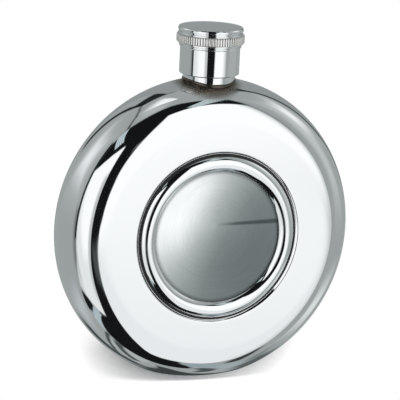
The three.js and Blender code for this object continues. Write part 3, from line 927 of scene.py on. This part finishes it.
# Light tent, as the polished steel sees it. A panel has the panel that it lies on, the softness of its
# edges, the colour that the steel shows there, and its corners as (azimuth from -Y towards +X, elevation)
# in degrees. Later panels lie over earlier ones.
TENT_GREY = "#999E9E"
TENT = (
    ("left_wall_glow", None, 18, "#B8BCBD", ((-146, 38), (-108, 42), (-108, 10), (-146, 8))),
    ("left_glow", None, 11, "#E6E8E9", ((-142, 34), (-120, 37), (-120, 18), (-142, 16))),
    ("left_low_wall", None, 8, "#B4BABB", ((-160, -36), (-118, -38), (-118, -50), (-150, -50))),
    ("left_shadow", None, 6, "#6E7373", ((-100, 4), (-88, 4), (-87, -24), (-98, -28))),
    ("left_top_wall", None, 8, "#B2B6B6", ((-125, 80), (-45, 84), (-45, 75), (-80, 69), (-125, 68))),
    ("overhead", None, 7, "#F2F4F4", ((-172, 90), (-112, 90), (-120, 71), (-140, 70), (-165, 69))),
    ("top_seam_back", None, 0.9, "#5A5E5F", ((-160, 54), (-140, 61.5), (-140, 59.3), (-160, 52))),
    ("top_seam_middle", None, 0.9, "#5A5E5F", ((-140, 61.5), (-118, 64.1), (-118, 62), (-140, 59.3))),
    ("top_seam", None, 1, "#505455", ((-118, 64.4), (-100, 62), (-100, 59.4), (-118, 61.9))),
    ("top_seam_front", None, 1, "#464A4B", ((-100, 62), (-84, 58.5), (-84, 55.5), (-100, 59.4))),
    ("back_corner", None, 2.2, "#232627",
     ((-182, 60.5), (-170, 58.5), (-159, 56), (-158, 52), (-165, 43), (-182, 41))),
    ("back_corner_right", None, 2.2, "#232627", ((173, 61), (182, 61), (182, 41), (173, 44))),
    ("back_seam_top", None, 1.5, "#16181A", ((-163, 54), (-158, 54), (-163, 36), (-168, 36))),
    ("back_seam", None, 1.6, "#16181A", ((-168, 37), (-163.5, 37), (-167.5, 8), (-173.5, 8))),
    ("back_low", None, 3, "#3C4041", ((-182, -28), (-172, -34), (-168, -40), (-174, -47), (-182, -49))),
    ("floor", None, 1.5, "#A8ADAD", ((-182, -47), (-140, -62), (-105, -67), (-105, -90), (-182, -90))),
    ("floor_shadow_back", None, 1.8, "#4A4F50", ((-182, -58), (-150, -66), (-150, -72), (-182, -67))),
    ("floor_shadow", None, 1.8, "#4A4F50", ((-150, -66), (-105, -71), (-105, -77), (-150, -72))),
    ("floor_line_back", None, 1, "#464B4C", ((-182, -45), (-165, -54), (-165, -57), (-182, -48))),
    ("floor_line_middle", None, 1, "#464B4C", ((-165, -54), (-140, -61), (-140, -64), (-165, -57))),
    ("floor_line", None, 1, "#464B4C", ((-140, -61), (-105, -65), (-105, -68), (-140, -64))),
    ("right_back_wall", None, 4, "#8C9191",
     ((124, 60), (182, 60), (182, -18), (150, -18), (132, 0), (128, 12))),
    ("right_middle_glow", None, 12, "#B9BDBD", ((64, 22), (92, 22), (92, -6), (64, -6))),
    ("back_low_right", None, 3, "#44494A", ((166, -40), (182, -28), (182, -52), (170, -52))),
    ("right_wall_glow", None, 14, "#C2C6C6", ((66, 40), (106, 40), (106, 20), (66, 20))),
    ("right_glow", None, 9, "#F2F3F4", ((82, 38), (100, 38), (100, 24), (82, 24))),
    ("right_low_glow", None, 8, "#DADEDE", ((66, -28), (104, -26), (104, -38), (70, -40))),
    ("right_low_band", None, 4, "#767C7C", ((76, -48), (108, -50), (108, -57), (76, -55))),
    ("right_low_band_back", None, 3, "#565C5C", ((106, -50), (150, -26), (157, -33), (118, -57))),
    ("right_low_light", None, 3, "#9AA5A8", ((50, -56), (106, -57), (112, -63), (60, -66))),
    ("right_low_line", None, 1.5, "#4A5051", ((58, -66), (112, -64.5), (126, -68), (112, -71), (60, -71))),
    ("back_foot", None, 3.5, "#3A3F40",
     ((150, -24), (161, -20), (170, -52), (160, -80), (132, -80), (138, -60))),
    ("right_strip", None, 1.5, "#8A8F90", ((41, 44), (47, 44), (47, 6), (41, 6))),
    ("right_back_seam_low", None, 2, "#5C6262", ((124, 9), (129.5, 9), (143, -9), (138, -10))),
    ("right_back_seam", None, 2, "#3E4344", ((115, 48), (121.5, 48), (129.5, 8), (124, 8))),
    ("right_back_seam_top", None, 2, "#2A2D2E", ((102, 72), (118, 72), (127, 52), (121.5, 47), (115, 47))),
    ("right_top_seam_back", None, 1.2, "#54595A", ((94, 63.5), (109, 58.5), (113, 54.5), (94, 60))),
    ("right_top_seam", None, 1.2, "#5A5F60", ((68, 67.5), (94, 63.5), (94, 60), (68, 63.5))),
    ("right_top_seam_front", None, 1.2, "#5A5F60", ((46, 66.5), (68, 67.5), (68, 63.5), (46, 61.5))),
    ("top_black", None, 2.2, "#131415",
     ((-88, 28), (-88, 50), (-84, 58), (-70, 64), (-55, 69), (-38, 72.5), (-15, 74), (5, 71), (22, 63),
      (44, 50), (44, 36))),
    ("low_black", None, 1.5, "#131415",
     ((-100, -66), (-60, -52), (-40, -46), (20, -46), (26, -60), (30, -90), (-110, -90))),
    ("low_black_right", None, 1.5, "#131415", ((20, -58), (45, -67), (60, -72), (60, -90), (20, -90))),
    ("low_black_left", None, 1.2, "#131415",
     ((-105, -46), (-100, -40), (-78, -47), (-76, -50), (-92, -53.5), (-106, -51))),
    ("low_smudge", None, 2, "#303435", ((43.5, -37), (49, -40), (60, -53), (52, -55), (44, -49))),
    ("gap", None, 1.5, "#131415", ((-42, 40), (2, 52), (2, -60), (-42, -54))),
    ("gap_leak", None, 4, "#45494A", ((-26, -15), (4, -13), (4, -25), (-20, -26))),
    ("gap_leak_bright", None, 3.5, "#A8ACAC", ((-7, -14), (6, -12), (6, -25), (-5, -25))),
    ("gap_spot", None, 1.5, "#606465", ((-9, 20), (-5, 21), (-4, 15), (-8, 15))),
    ("left_seam", None, 1.4, "#1A1D1E", ((-94, 46), (-87, 46), (-86.5, 2), (-93.5, 2))),
    ("left_seam_low", None, 1.4, "#1E2122", ((-94, 4), (-87, 4), (-87, -12), (-94, -12))),
    ("left_panel", None, 1.2, "#E0E3E3",
     ((-87, 27), (-70, 32.5), (-55, 35.5), (-38, 36), (-34, 34), (-32, 22), (-31.5, 5), (-32, -15),
      (-34, -38), (-37, -48.5), (-45, -50.5), (-60, -50.5), (-75, -47.5), (-88, -42.5))),
    ("left_low_corner", None, 1.5, "#C9CCCC", ((-86, -20), (-86, -44), (-97, -38))),
    ("left_bright", "left_panel", 7, "#FAFBFB", ((-92, 36), (-28, 42), (-28, -22), (-60, -20), (-78, 0))),
    ("left_dim", "left_panel", 8, "#9EA2A2", ((-106, -6), (-90, -6), (-84, -32), (-106, -32))),
    ("left_edge_fade", "left_panel", 4, "#BDC0C0", ((-41, 18), (-26, 18), (-26, -40), (-41, -40))),
    ("right_panel", None, 1.5, "#FDFEFE",
     ((-3.5, 46), (10, 44), (22, 40.5), (36, 35.5), (40, 32), (43, -38), (42, -43), (37, -46.5), (12, -58),
      (4, -59), (0, -56), (-3, -46), (-4, -36), (-3.7, 20))),
    ("right_shade", "right_panel", 4, "#E6E8E9", ((-12, -14), (60, -14), (60, -70), (-12, -70))),
    ("right_edge_fade", "right_panel", 4.5, "#CBCECE", ((37, 34), (60, 34), (60, -52), (39, -52))),
    ("right_wedge", "right_panel", 4, "#C4C7C7", ((30, -12), (60, 0), (60, -24))),
    ("gap_notch", None, 1.5, "#131415", ((-8, 8), (-8, -12), (-1, -9), (-2, 0))),
)
WINDOWS = (
    ("#C6D4D9", ((-88, 50), (-82, 58.5), (-52, 44.5), (-63, 40.5))),
    ("#C5D3D5", ((15, 41), (10, 50), (32, 62), (42, 52))),
    ("#AEBEC4", ((-104, -65), (-106, -56), (-76, -49.5), (-56, -53))),
    ("#8E9EA4", ((25, -58), (30, -50), (66, -62), (42, -67))),
)
WINDOW_PANES = 4
WINDOW_SOFTNESS = 0.7      # degrees
WINDOW_BAR = 0.22          # share of a pane's width that the bar between panes takes
STEEL_LEVEL = 1.2          # tent's light over what the steel reflects of it
FILL_LEVEL = 0.23          # light from all round on the floor and the dull pieces
KEY_AZIMUTH = math.radians(-25)
KEY_ELEVATION = math.radians(60)
KEY_SPREAD = math.radians(24)
KEY_LEVEL = 3.3


def panes(corners):
    """Splits a window into upright panes with bars between them."""
    a, b, c, d = (Vector(corner) for corner in corners)
    strips = []
    for index in range(WINDOW_PANES):
        near = (index + WINDOW_BAR / 2) / WINDOW_PANES
        far = (index + 1 - WINDOW_BAR / 2) / WINDOW_PANES
        strips.append([a.lerp(b, near), a.lerp(b, far), d.lerp(c, far), d.lerp(c, near)])
    return strips


def light_tent():
    """Even fill for the floor and the dull pieces, and the tent's panels for reflections."""
    world = bpy.data.worlds.new("light_tent")
    bpy.context.scene.world = world
    world.use_nodes = True
    world.cycles.sampling_method = "NONE"
    tree = world.node_tree
    tree.nodes.clear()
    aim = add(tree, "ShaderNodeTexCoord").outputs["Generated"]
    axes = add(tree, "ShaderNodeSeparateXYZ", {"Vector": aim})
    front = add(tree, "ShaderNodeMath", {0: axes.outputs["Y"], 1: -1.0}, operation="MULTIPLY")
    turned = add(tree, "ShaderNodeMath", {0: axes.outputs["X"], 1: front.outputs[0]}, operation="ARCTAN2")
    raised = add(tree, "ShaderNodeMath", {0: axes.outputs["Z"]}, operation="ARCSINE")
    azimuth = add(tree, "ShaderNodeMath", {0: turned.outputs[0]}, operation="DEGREES")
    elevation = add(tree, "ShaderNodeMath", {0: raised.outputs[0]}, operation="DEGREES")
    spot = add(tree, "ShaderNodeCombineXYZ", {
        "X": azimuth.outputs[0], "Y": elevation.outputs[0], "Z": 1.0,
    }).outputs["Vector"]
    shade = linear(TENT_GREY)
    covers = {None: 1.0}
    windows = [("window", None, WINDOW_SOFTNESS, colour, strip)
               for colour, corners in WINDOWS for strip in panes(corners)]
    for name, parent, soft, colour, corners in (*TENT, *windows):
        outline = [Vector(corner) for corner in corners]
        middle = sum(outline, Vector((0.0, 0.0))) / len(outline)
        depth = soft
        for start, stop in zip(outline, outline[1:] + outline[:1]):
            inward = Vector((start.y - stop.y, stop.x - start.x)).normalized()
            if inward.dot(middle - start) < 0:
                inward.negate()
            inside = add(tree, "ShaderNodeVectorMath", {
                0: spot, 1: (inward.x, inward.y, -inward.dot(start)),
            }, operation="DOT_PRODUCT")
            depth = add(tree, "ShaderNodeMath", {0: depth, 1: inside.outputs["Value"]},
                        operation="MINIMUM").outputs[0]
        cover = add(tree, "ShaderNodeMapRange", {
            "Value": depth, "From Min": -soft, "From Max": soft, "To Max": covers[parent],
        }, interpolation_type="SMOOTHSTEP").outputs["Result"]
        covers[name] = cover
        shade = add(tree, "ShaderNodeMix", {
            "Factor": cover, "A": shade, "B": linear(colour),
        }, data_type="RGBA").outputs["Result"]
    path = add(tree, "ShaderNodeLightPath")
    panels = add(tree, "ShaderNodeBackground", {"Color": shade, "Strength": STEEL_LEVEL})
    fill = add(tree, "ShaderNodeBackground", {"Color": linear("#FFFFFF"), "Strength": FILL_LEVEL})
    white = add(tree, "ShaderNodeBackground", {"Color": linear("#FFFFFF"), "Strength": 1.0})
    lit = add(tree, "ShaderNodeMixShader", {
        0: path.outputs["Is Glossy Ray"], 1: fill.outputs["Background"],
        2: panels.outputs["Background"],
    })
    seen = add(tree, "ShaderNodeMixShader", {
        0: path.outputs["Is Camera Ray"], 1: lit.outputs["Shader"], 2: white.outputs["Background"],
    })
    add(tree, "ShaderNodeOutputWorld", {"Surface": seen.outputs["Shader"]})


def key_light():
    """Large soft lamp above the camera. The steel shows the tent's panels in its place."""
    data = bpy.data.lights.new("key_light", "SUN")
    data.energy = KEY_LEVEL
    data.angle = KEY_SPREAD
    lamp = bpy.data.objects.new("key_light", data)
    lamp.rotation_euler = (math.pi / 2 - KEY_ELEVATION, 0.0, KEY_AZIMUTH)
    lamp.visible_glossy = False
    bpy.context.scene.collection.objects.link(lamp)


# The flask
mirror = mirror_polished_stainless_steel()
polished_body(neck_darkened_stainless_steel())
framed_plate(spun_stainless_steel())
bezel(mirror)
adhesive = cured_black_adhesive()
bezel_joint(adhesive)
collar(mirror)
collar_foot(heat_tinted_stainless_steel())
spout(turned_stainless_steel())
cap_cup(mirror)
grip_band(rolled_stainless_steel())
liner(moulded_polypropylene())
gasket(silicone_rubber())
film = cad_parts["plate_bond_film"]
film.data.materials.clear()
film.data.materials.append(adhesive)

# The picture
bpy.context.scene.view_settings.view_transform = "Standard"
photo_camera()
white_floor()
light_tent()
key_light()
